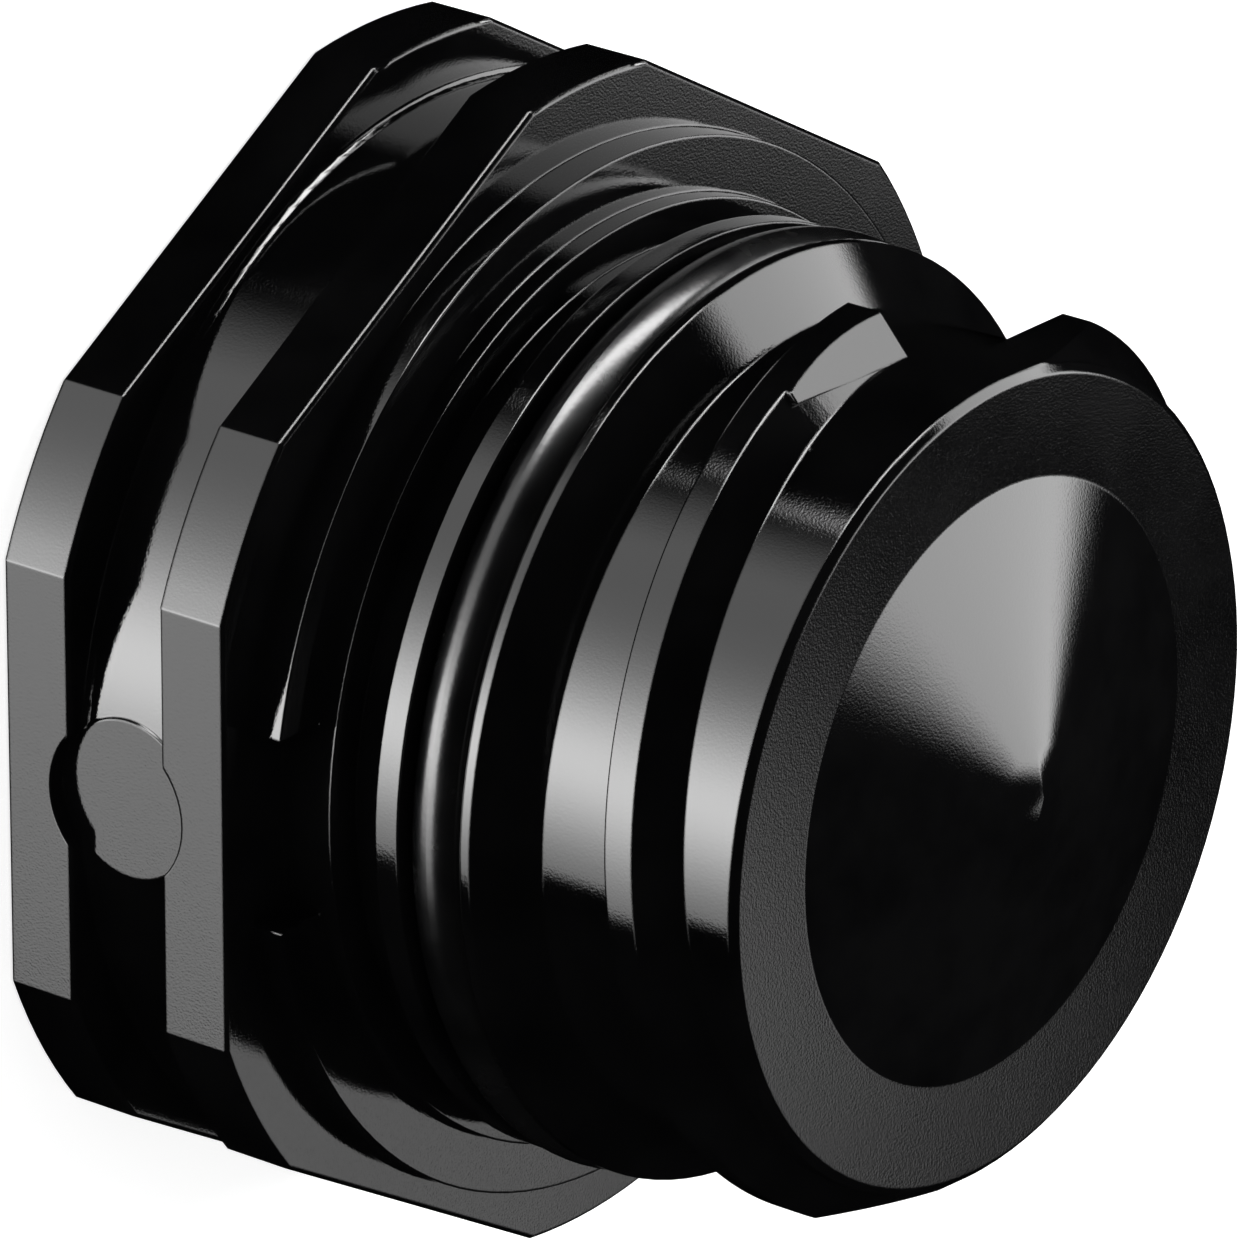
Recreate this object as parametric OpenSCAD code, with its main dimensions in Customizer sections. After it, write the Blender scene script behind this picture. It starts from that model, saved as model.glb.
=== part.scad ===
// Manifold end plug: a bayonet plug with a double hexagon flange and an O-ring seal.
// Units are millimetres. The plug's axis is Z, its outer flange face lies on Z = 0 and the
// nose points up. The milled seat and the slot of the lock ring face -Y, and the two bayonet
// lugs start at 0 and 180 degrees around the axis.

/* [Flange] */
// Distance across the flats of both hexagon plates
across_flats = 50; // [46:1:52]
// Diameter that the six corners of the plates are turned down to
corner_d = 53.7; // [53.2:0.1:55]
// Thickness of each plate
plate_t = 3.5; // [2.5:0.5:6]
// Free gap between the two plates
plate_gap = 5; // [4:0.5:7]
// Diameter of the neck between the plates
neck_d = 48.4; // [44:0.2:49]
// Radius of the fillets at both ends of the neck
neck_fillet = 0.3; // [0.1:0.1:0.6]
// Width of the broken edges of the plates
edge_break = 0.15; // [0.05:0.05:0.4]

/* [Round seat] */
// Diameter of the round seat cut into one flat, across both plates
seat_d = 7.25; // [6:0.25:10]
// Depth of the seat below the flat
seat_depth = 0.9; // [0.5:0.1:1.5]

/* [Lock ring] */
// Outside diameter of the slotted ring on the front plate
lock_ring_d = 47.4; // [45:0.2:49]
// Height of the slotted ring above the plate
lock_ring_h = 1.65; // [1:0.05:2.4]
// Width of the slot in the ring
slot_w = 8.85; // [5:0.05:14]

/* [Barrel] */
// Diameter of the collar between the flange and the relief groove
collar_d = 42.4; // [42:0.1:44]
// Height of the collar above the front plate
collar_h = 2.65; // [2.45:0.05:4]
// Diameter of the floor of the relief groove
relief_d = 39; // [37.5:0.5:41]
// Width of the relief groove
relief_w = 2.1; // [1:0.1:3]
// Diameter of the two lands beside the O-ring
land_d = 41.7; // [41:0.1:41.9]
// Width of the rear land
rear_land_w = 1.2; // [0.8:0.1:2.5]
// Width of the front land, before its taper
front_land_w = 0.5; // [0.3:0.1:1.5]
// Length of the taper from the front land down to the nose
land_taper = 1.9; // [1:0.1:3]

/* [O-ring] */
// Inside diameter of the O-ring
oring_id = 36; // [35:0.1:36.4]
// Cord diameter of the O-ring
oring_cord = 3; // [2.8:0.1:3.2]
// Axial play of the O-ring in its groove
groove_play = 0.35; // [0.1:0.05:1]
// Radial clearance under the O-ring
groove_clearance = 0.05; // [0.02:0.01:0.2]

/* [Nose] */
// Diameter of the nose, which is also the root of the lugs
nose_d = 36.6; // [36:0.1:38]
// Length of the whole barrel, from the front plate to the end face
barrel_len = 21.8; // [21.4:0.1:26]
// Axial length of the chamfer around the end face
nose_chamfer_len = 0.3; // [0.1:0.1:1]
// Radial width of that chamfer
nose_chamfer_w = 0.36; // [0.1:0.02:1]
// Diameter of the foot of the shallow cone on the end face
cone_d = 26.8; // [16:0.2:32]
// Height of the cone above the end face
cone_h = 2.6; // [1:0.1:5]

/* [Bayonet] */
// Outside diameter of the two lugs
lug_d = 40; // [38.6:0.1:41]
// Width of a lug's outer rim along the axis
lug_rim_w = 1.42; // [1:0.02:1.8]
// Axial length of a lug's tapered front, from its rim to its root
lug_taper = 1.44; // [0.8:0.02:1.9]
// Height of a lug's rear face above the front plate where the lug starts
lug_start_h = 13.8; // [13:0.1:14.5]
// Rise of the lugs along the axis in one full turn
lug_lead = 10.4; // [8:0.1:11]
// Angle around the axis from a lug's start to where its cut end runs into the nose
lug_sweep = 175.5; // [150:0.5:178]
// Length of the flat pad at the start of each lug
pad_len = 7.1; // [3:0.1:9]
// Height of the pad above the rim where the lug starts
pad_h = 0.29; // [0.2:0.01:0.5]
// Slope of the pad down from the nose to the rim, in degrees
pad_tilt = 41.3; // [38:0.1:46]
// Slope of the pad along the lug, in degrees
pad_lean = 3.2; // [1:0.1:5]

/* [Hidden] */
$fn = 180;
eps = 0.01;                       // overlap that joins stacked solids
lug_step = 3;                     // degrees between the sections of a lug
lug_root = 1.2;                   // how far the sections of a lug reach into the nose
lug_over = 0.6;                   // how far they reach past the rim before they are trimmed
pad_sink = 0.02;                  // how far the pad's inner wall lies inside the nose

neck_z0 = plate_t;
front_plate_z = neck_z0 + plate_gap;
flange_h = front_plate_z + plate_t;

collar_z = flange_h + collar_h;
rear_land_z = collar_z + relief_w;
groove_z = rear_land_z + rear_land_w;
groove_w = oring_cord + groove_play;
groove_d = oring_id - 2 * groove_clearance;
front_land_z = groove_z + groove_w;
taper_z = front_land_z + front_land_w;
nose_z = taper_z + land_taper;
end_z = flange_h + barrel_len;

lug_r = lug_d / 2;
nose_r = nose_d / 2;
lug_z = flange_h + lug_start_h;
front_slope = lug_taper / (lug_r - nose_r);

// The flange

// One hexagon plate with turned corners and all its edges broken, standing on Z = z
module plate(z) {
    translate([0, 0, z])
        difference() {
            intersection() {
                linear_extrude(plate_t) circle(d = across_flats / cos(30), $fn = 6);
                rotate_extrude() polygon([
                    [0, 0], [corner_d / 2 - edge_break, 0], [corner_d / 2, edge_break],
                    [corner_d / 2, plate_t - edge_break], [corner_d / 2 - edge_break, plate_t],
                    [0, plate_t]]);
            }
            for (k = [0:5], face = [0, plate_t])
                rotate([0, 0, 30 + 60 * k]) translate([across_flats / 2, 0, face])
                    rotate([0, 45, 0])
                        cube([edge_break * sqrt(2), across_flats, edge_break * sqrt(2)],
                             center = true);
        }
}

// The neck between the plates, with a fillet at each end
module neck() {
    translate([0, 0, neck_z0]) rotate_extrude() difference() {
        translate([0, -eps]) square([neck_d / 2 + neck_fillet, plate_gap + 2 * eps]);
        space_beside_neck();
    }
}

// Section of the free space beside the neck, with its corners rounded
module space_beside_neck() {
    r = neck_d / 2;
    translate([r, neck_fillet]) square([2 * neck_fillet, plate_gap - 2 * neck_fillet]);
    translate([r + neck_fillet, neck_fillet]) circle(neck_fillet, $fn = 48);
    translate([r + neck_fillet, plate_gap - neck_fillet]) circle(neck_fillet, $fn = 48);
}

// A cylinder across the flange on the seat's axis, from the plug's axis out to radius r
module seat_cylinder(r_in, r_out) {
    translate([0, 0, flange_h / 2]) rotate([90, 0, 0])
        translate([0, 0, r_in]) cylinder(d = seat_d, h = r_out - r_in);
}

module flange() {
    floor_r = across_flats / 2 - seat_depth;
    difference() {
        union() {
            plate(0);
            plate(front_plate_z);
            neck();
            seat_cylinder(neck_d / 4, floor_r);
        }
        seat_cylinder(floor_r, across_flats);
    }
}

// The slotted ring on the front plate

module lock_ring() {
    translate([0, 0, flange_h - eps])
        difference() {
            cylinder(d = lock_ring_d, h = lock_ring_h + eps);
            translate([-slot_w / 2, -lock_ring_d, -eps])
                cube([slot_w, lock_ring_d, lock_ring_h + 3 * eps]);
        }
}

// The barrel: collar, relief groove, lands, O-ring groove, taper, nose and end cone

module barrel() {
    rotate_extrude() polygon([
        [0, flange_h - eps], [collar_d / 2, flange_h - eps],
        [collar_d / 2, collar_z], [relief_d / 2, collar_z],
        [relief_d / 2, rear_land_z], [land_d / 2, rear_land_z],
        [land_d / 2, groove_z], [groove_d / 2, groove_z],
        [groove_d / 2, front_land_z], [land_d / 2, front_land_z],
        [land_d / 2, taper_z], [nose_r, nose_z],
        [nose_r, end_z - nose_chamfer_len], [nose_r - nose_chamfer_w, end_z],
        [cone_d / 2, end_z], [0, end_z + cone_h]]);
}

// The bayonet lugs

// Sections of a lug reach past its rim and into the nose, and are trimmed afterwards
function lug_section(a) =
    let (r_in = nose_r - lug_root, r_out = lug_r + lug_over, rise = lug_lead * a / 360)
    [for (p = [[r_in, 0], [r_out, 0],
               [r_out, lug_rim_w - front_slope * (r_out - lug_r)],
               [r_in, lug_rim_w + front_slope * (lug_r - r_in)]])
        [p[0] * cos(a), p[0] * sin(a), lug_z + rise + p[1]]];

// The helical sweep of one lug, from its start at 0 degrees
module lug_sweep_solid() {
    n = ceil(lug_sweep / lug_step);
    rings = [for (i = [0:n]) lug_section(lug_sweep * i / n)];
    side = [for (i = [0:n - 1], k = [0:3])
        let (a = 4 * i + k, b = 4 * i + (k + 1) % 4)
        each [[a, b, b + 4], [a, b + 4, a + 4]]];
    polyhedron(
        points = [for (ring = rings) each ring],
        faces = concat([[3, 2, 1, 0]], side, [[4 * n, 4 * n + 1, 4 * n + 2, 4 * n + 3]]));
}

// The flat pad at the start of a lug: its inner wall is tangent to the nose and its top is a
// plane that slopes from the nose to the rim and leans along the lug
module lug_pad() {
    base = lug_z + 0.75 * lug_rim_w;
    reach = 4 * pad_len;
    intersection() {
        translate([nose_r - pad_sink, 0, base])
            cube([lug_r - nose_r + lug_over, pad_len, 2 * lug_taper + lug_rim_w]);
        translate([lug_r, 0, lug_z + lug_rim_w + pad_h]) rotate([-pad_lean, pad_tilt, 0])
            translate([-reach / 2, -reach / 2, -reach]) cube(reach);
    }
}

module lug() {
    intersection() {
        difference() {
            union() {
                lug_sweep_solid();
                lug_pad();
            }
            // The cut end lies in a plane that is tangent to the nose and parallel to the axis
            rotate([0, 0, lug_sweep]) translate([nose_r, -lug_d, flange_h])
                cube([lug_d, 2 * lug_d, 2 * barrel_len]);
        }
        cylinder(r = lug_r, h = end_z - nose_chamfer_len);
    }
}

// The pieces

module plug_body() {
    color("dimgray") {
        flange();
        lock_ring();
        barrel();
        for (a = [0, 180]) rotate([0, 0, a]) lug();
    }
}

module o_ring() {
    color("black")
        translate([0, 0, groove_z + groove_w / 2]) rotate_extrude()
            translate([(oring_id + oring_cord) / 2, 0]) circle(d = oring_cord, $fn = 64);
}

plug_body();
o_ring();
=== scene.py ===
"""Looks for the manifold end plug: gloss black plastic and a rubber O-ring on a white floor."""

import math

import bpy
from mathutils import Matrix, Vector

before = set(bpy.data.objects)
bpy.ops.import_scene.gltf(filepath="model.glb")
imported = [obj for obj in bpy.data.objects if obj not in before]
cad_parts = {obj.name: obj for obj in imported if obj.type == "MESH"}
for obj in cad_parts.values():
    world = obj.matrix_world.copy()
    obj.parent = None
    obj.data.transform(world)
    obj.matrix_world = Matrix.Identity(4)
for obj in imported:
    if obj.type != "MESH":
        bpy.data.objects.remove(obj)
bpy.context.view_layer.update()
scene = bpy.context.scene


# Camera: its place in metres, and the directions of the picture's right and top

CAMERA_AT = (-0.21435, -0.39496, 0.31856)
CAMERA_RIGHT = Vector((-0.00281, 0.61201, 0.79084))
CAMERA_UP = Vector((-0.92027, 0.30786, -0.24152))
LENS_MM = 362.66
SENSOR_MM = 36
CLIP_FROM, CLIP_TO = 0.01, 20


def make_camera():
    data = bpy.data.cameras.new("camera")
    data.sensor_width = SENSOR_MM
    data.lens = LENS_MM
    data.clip_start, data.clip_end = CLIP_FROM, CLIP_TO
    camera = bpy.data.objects.new("camera", data)
    scene.collection.objects.link(camera)
    right, up = CAMERA_RIGHT.normalized(), CAMERA_UP.normalized()
    back = right.cross(up).normalized()
    camera.matrix_world = Matrix.Translation(CAMERA_AT) @ Matrix(
        (right, back.cross(right), back)).transposed().to_4x4()
    scene.camera = camera


# Materials: noise scales are per metre, and distances are in metres

EDGE_RADIUS = 0.00016
BEVEL_SAMPLES = 8

PLASTIC = {
    "name": "black_plastic", "ior": 1.47, "roughness": (0.04, 0.07),
    "dark": (0.0022, 0.0022, 0.0024), "light": (0.0042, 0.0042, 0.0044),
    "patch_scale": 160, "grain_scale": 9000, "grain_detail": 2, "grain_depth": 0.00001,
    "edge_radius": EDGE_RADIUS,
}
RUBBER = {
    "name": "black_rubber", "ior": 1.5, "roughness": (0.2, 0.3),
    "dark": (0.003, 0.003, 0.0032), "light": (0.006, 0.006, 0.0062),
    "patch_scale": 240, "grain_scale": 3800, "grain_detail": 3, "grain_depth": 0.00002,
    "edge_radius": 0,
}
PATCH_DETAIL, PATCH_ROUGHNESS = 4, 0.6
GRAIN_STRENGTH = 0.3
NOISE_LOW, NOISE_HIGH = 0.3, 0.7
COLOUR_LOW, COLOUR_HIGH = 0.35, 0.65


def new_material(name):
    material = bpy.data.materials.new(name)
    material.use_nodes = True
    tree = material.node_tree
    tree.nodes.clear()
    return material, tree


def add(tree, kind, **sockets):
    """Adds a node; a keyword sets the input of that name, with _ for a space."""
    node = tree.nodes.new(kind)
    for name, value in sockets.items():
        node.inputs[name.replace("_", " ")].default_value = value
    return node


def noise(tree, place, scale, detail, roughness=0.5):
    node = add(tree, "ShaderNodeTexNoise", Scale=scale, Detail=detail, Roughness=roughness)
    tree.links.new(place.outputs["Object"], node.inputs["Vector"])
    return node.outputs["Fac"]


def spread(tree, value, low, high):
    """Spreads the middle of a noise over the range from low to high."""
    node = add(tree, "ShaderNodeMapRange", From_Min=NOISE_LOW, From_Max=NOISE_HIGH,
               To_Min=low, To_Max=high)
    tree.links.new(value, node.inputs["Value"])
    return node.outputs["Result"]


def two_colours(tree, value, dark, light):
    node = tree.nodes.new("ShaderNodeValToRGB")
    stops = ((COLOUR_LOW, dark), (COLOUR_HIGH, light))
    for element, (at, colour) in zip(node.color_ramp.elements, stops):
        element.position = at
        element.color = (*colour, 1)
    tree.links.new(value, node.inputs["Fac"])
    return node.outputs["Color"]


def bump(tree, height, distance, edge_radius):
    """Bumps from a height; with an edge radius, over edges that are rounded that much."""
    node = add(tree, "ShaderNodeBump", Strength=GRAIN_STRENGTH, Distance=distance)
    tree.links.new(height, node.inputs["Height"])
    if edge_radius:
        rounding = add(tree, "ShaderNodeBevel", Radius=edge_radius)
        rounding.samples = BEVEL_SAMPLES
        tree.links.new(rounding.outputs["Normal"], node.inputs["Normal"])
    return node.outputs["Normal"]


def black_material(look):
    """A black gloss with a fine grain, and faint patches in its colour and roughness."""
    material, tree = new_material(look["name"])
    place = tree.nodes.new("ShaderNodeTexCoord")
    grain = noise(tree, place, look["grain_scale"], look["grain_detail"])
    patches = noise(tree, place, look["patch_scale"], PATCH_DETAIL, PATCH_ROUGHNESS)
    shader = add(tree, "ShaderNodeBsdfPrincipled", IOR=look["ior"])
    sources = {
        "Base Color": two_colours(tree, patches, look["dark"], look["light"]),
        "Roughness": spread(tree, patches, *look["roughness"]),
        "Normal": bump(tree, grain, look["grain_depth"], look["edge_radius"]),
    }
    for socket, source in sources.items():
        tree.links.new(source, shader.inputs[socket])
    out = tree.nodes.new("ShaderNodeOutputMaterial")
    tree.links.new(shader.outputs["BSDF"], out.inputs["Surface"])
    return material


SHARP_FROM = math.radians(15)


def smooth(mesh):
    """Smooth shading, but flat where a sliver beside a plane would bend the plane's shading."""
    mesh.set_sharp_from_angle(angle=SHARP_FROM)
    mesh.shade_smooth()
    corners = [corner.vector.copy() for corner in mesh.corner_normals]
    for face in mesh.polygons:
        if any(corners[k].angle(face.normal, 0) > SHARP_FROM for k in face.loop_indices):
            face.use_smooth = False


def dress(node, look):
    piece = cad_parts[node]
    piece.data.materials.clear()
    piece.data.materials.append(black_material(look))
    smooth(piece.data)


# Floor

FLOOR_HALF = 3.0
FLOOR_Z = -0.00005
FLOOR_WHITE = 0.8
FLOOR_GLOW = 0.72


def mix(tree, factor, plain, chosen):
    """The plain shader, and the chosen one where the factor is 1."""
    node = tree.nodes.new("ShaderNodeMixShader")
    for socket, source in zip(node.inputs, (factor, plain, chosen)):
        tree.links.new(source, socket)
    return node.outputs["Shader"]


def floor_material():
    """Pale to the light; to the camera it glows up to white and keeps the object's shadow."""
    material, tree = new_material("floor_white")
    path = tree.nodes.new("ShaderNodeLightPath")
    pale = add(tree, "ShaderNodeBsdfDiffuse", Color=(FLOOR_WHITE, FLOOR_WHITE, FLOOR_WHITE, 1))
    glow = add(tree, "ShaderNodeEmission", Strength=FLOOR_GLOW)
    bright = tree.nodes.new("ShaderNodeAddShader")
    tree.links.new(pale.outputs["BSDF"], bright.inputs[0])
    tree.links.new(glow.outputs["Emission"], bright.inputs[1])
    out = tree.nodes.new("ShaderNodeOutputMaterial")
    tree.links.new(mix(tree, path.outputs["Is Camera Ray"], pale.outputs["BSDF"],
                       bright.outputs["Shader"]), out.inputs["Surface"])
    return material


def make_floor():
    """The floor, which the gloss doesn't mirror: below the horizon it mirrors the softboxes."""
    h = FLOOR_HALF
    mesh = bpy.data.meshes.new("floor")
    mesh.from_pydata([(-h, -h, FLOOR_Z), (h, -h, FLOOR_Z), (h, h, FLOOR_Z), (-h, h, FLOOR_Z)],
                     [], [(0, 1, 2, 3)])
    mesh.materials.append(floor_material())
    floor = bpy.data.objects.new("floor", mesh)
    scene.collection.objects.link(floor)
    floor.visible_glossy = False


# Softboxes that the gloss mirrors, as radiances along a direction. They stay where they are when
# the camera moves. The left one is a bell along the azimuth over an even level, in degrees.

BELL_AT, BELL_WIDTH, BELL_LEVEL = 268.7, 15, 12.1
EVEN_LEVEL = 2.15
LEFT_FROM, LEFT_FROM_SOFT = 198, 12
LEFT_TO, LEFT_TO_SOFT = 302.5, 1.5
LEFT_LOW, LEFT_LOW_SOFT = -55, 5
LEFT_HIGH, LEFT_HIGH_SOFT = -14, 4

# The others are panels across one axis of the picture. Their ranges along the two other axes are
# shares of the distance along the first.
PANELS = [
    {"across": "right", "ranges": {"forward": (-0.22, 0.45), "up": (-0.22, 0.9)},
     "soft": 0.06, "level": 6},
    {"across": "up", "ranges": {"right": (-0.55, 0.75), "forward": (-0.52, -0.12)},
     "soft": 0.07, "level": 22},
    {"across": "right", "ranges": {"forward": (0.30, 0.45), "up": (-0.42, -0.315)},
     "soft": 0.025, "level": 1.5},
]
PANEL_NEAREST = 0.1


def calculate(tree, operation, a, b=None):
    """A Math node over sockets or plain numbers."""
    node = tree.nodes.new("ShaderNodeMath")
    node.operation = operation
    for socket, value in zip(node.inputs, (a, b)):
        if isinstance(value, (int, float)):
            socket.default_value = value
        elif value is not None:
            tree.links.new(value, socket)
    return node.outputs["Value"]


def edge(tree, value, border, soft):
    """0 before the border and 1 after it; with a negative softness, 1 before and 0 after."""
    node = add(tree, "ShaderNodeMapRange", From_Min=border - soft, From_Max=border + soft)
    node.interpolation_type = "SMOOTHSTEP"
    tree.links.new(value, node.inputs["Value"])
    return node.outputs["Result"]


def product(tree, first, *rest):
    for value in rest:
        first = calculate(tree, "MULTIPLY", first, value)
    return first


def along(tree, direction, axis):
    node = tree.nodes.new("ShaderNodeVectorMath")
    node.operation = "DOT_PRODUCT"
    tree.links.new(direction, node.inputs[0])
    node.inputs[1].default_value = axis
    return node.outputs["Value"]


def left_softbox(tree, direction):
    x, y, z = (along(tree, direction, axis) for axis in ((1, 0, 0), (0, 1, 0), (0, 0, 1)))
    turn = calculate(tree, "ARCTAN2", product(tree, y, -1.0), product(tree, x, -1.0))
    azimuth = calculate(tree, "ADD", product(tree, turn, math.degrees(1)), 180)
    elevation = product(tree, calculate(tree, "ARCSINE", z), math.degrees(1))
    offset = calculate(tree, "DIVIDE", calculate(tree, "SUBTRACT", azimuth, BELL_AT), BELL_WIDTH)
    bell = calculate(tree, "EXPONENT", product(tree, offset, offset, -0.5))
    even = edge(tree, azimuth, LEFT_FROM, LEFT_FROM_SOFT)
    level = calculate(tree, "ADD", product(tree, bell, BELL_LEVEL), product(tree, even, EVEN_LEVEL))
    return product(tree, level, edge(tree, azimuth, LEFT_TO, -LEFT_TO_SOFT),
                   edge(tree, elevation, LEFT_LOW, LEFT_LOW_SOFT),
                   edge(tree, elevation, LEFT_HIGH, -LEFT_HIGH_SOFT))


def panel_softbox(tree, parts, panel):
    ahead = parts[panel["across"]]
    share = calculate(tree, "GREATER_THAN", ahead, PANEL_NEAREST)
    for axis, (low, high) in panel["ranges"].items():
        ratio = calculate(tree, "DIVIDE", parts[axis], ahead)
        share = product(tree, share, edge(tree, ratio, low, panel["soft"]),
                        edge(tree, ratio, high, -panel["soft"]))
    return product(tree, share, panel["level"])


def softboxes(tree):
    """The radiance of all softboxes along the direction of a mirrored ray."""
    direction = tree.nodes.new("ShaderNodeTexCoord").outputs["Generated"]
    axes = {"right": CAMERA_RIGHT, "up": CAMERA_UP, "forward": CAMERA_UP.cross(CAMERA_RIGHT)}
    parts = {name: along(tree, direction, axis) for name, axis in axes.items()}
    total = left_softbox(tree, direction)
    for panel in PANELS:
        total = calculate(tree, "ADD", total, panel_softbox(tree, parts, panel))
    return total


# World and lamp

CAMERA_WHITE = 1
FILL = 0.5
LAMP_AZIMUTH, LAMP_ELEVATION = math.radians(108), math.radians(44)
LAMP_TARGET = Vector((0, 0, 0.02))
LAMP_DISTANCE, LAMP_WIDTH, LAMP_HEIGHT = 0.5, 0.44, 0.26
LAMP_RADIANCE = 6


def make_world():
    """White to the camera, the softboxes to the gloss, and a dim even fill to the rest."""
    world = bpy.data.worlds.new("studio")
    scene.world = world
    world.use_nodes = True
    tree = world.node_tree
    tree.nodes.clear()
    path = tree.nodes.new("ShaderNodeLightPath")
    white, fill, mirrored = (
        add(tree, "ShaderNodeBackground", Color=(1, 1, 1, 1), Strength=strength)
        for strength in (CAMERA_WHITE, FILL, 0))
    tree.links.new(softboxes(tree), mirrored.inputs["Strength"])
    lit = mix(tree, path.outputs["Is Glossy Ray"], fill.outputs["Background"],
              mirrored.outputs["Background"])
    seen = mix(tree, path.outputs["Is Camera Ray"], lit, white.outputs["Background"])
    out = tree.nodes.new("ShaderNodeOutputWorld")
    tree.links.new(seen, out.inputs["Surface"])


def make_lamp():
    """An area lamp behind the plug that faces it; it casts the shadow on the floor."""
    lamp = bpy.data.lights.new("top_softbox", "AREA")
    lamp.shape = "RECTANGLE"
    lamp.size, lamp.size_y = LAMP_WIDTH, LAMP_HEIGHT
    lamp.energy = LAMP_RADIANCE * math.pi * LAMP_WIDTH * LAMP_HEIGHT
    thing = bpy.data.objects.new("top_softbox", lamp)
    scene.collection.objects.link(thing)
    level = math.cos(LAMP_ELEVATION)
    away = Vector((math.cos(LAMP_AZIMUTH) * level, math.sin(LAMP_AZIMUTH) * level,
                   math.sin(LAMP_ELEVATION)))
    thing.location = LAMP_TARGET + away * LAMP_DISTANCE
    thing.rotation_mode = "QUATERNION"
    thing.rotation_quaternion = away.to_track_quat("Z", "Y")
    thing.visible_camera = False
    thing.visible_glossy = False


make_camera()
dress("plug_body", PLASTIC)
dress("o_ring", RUBBER)
make_floor()
make_lamp()
make_world()
scene.view_settings.view_transform = "Standard"
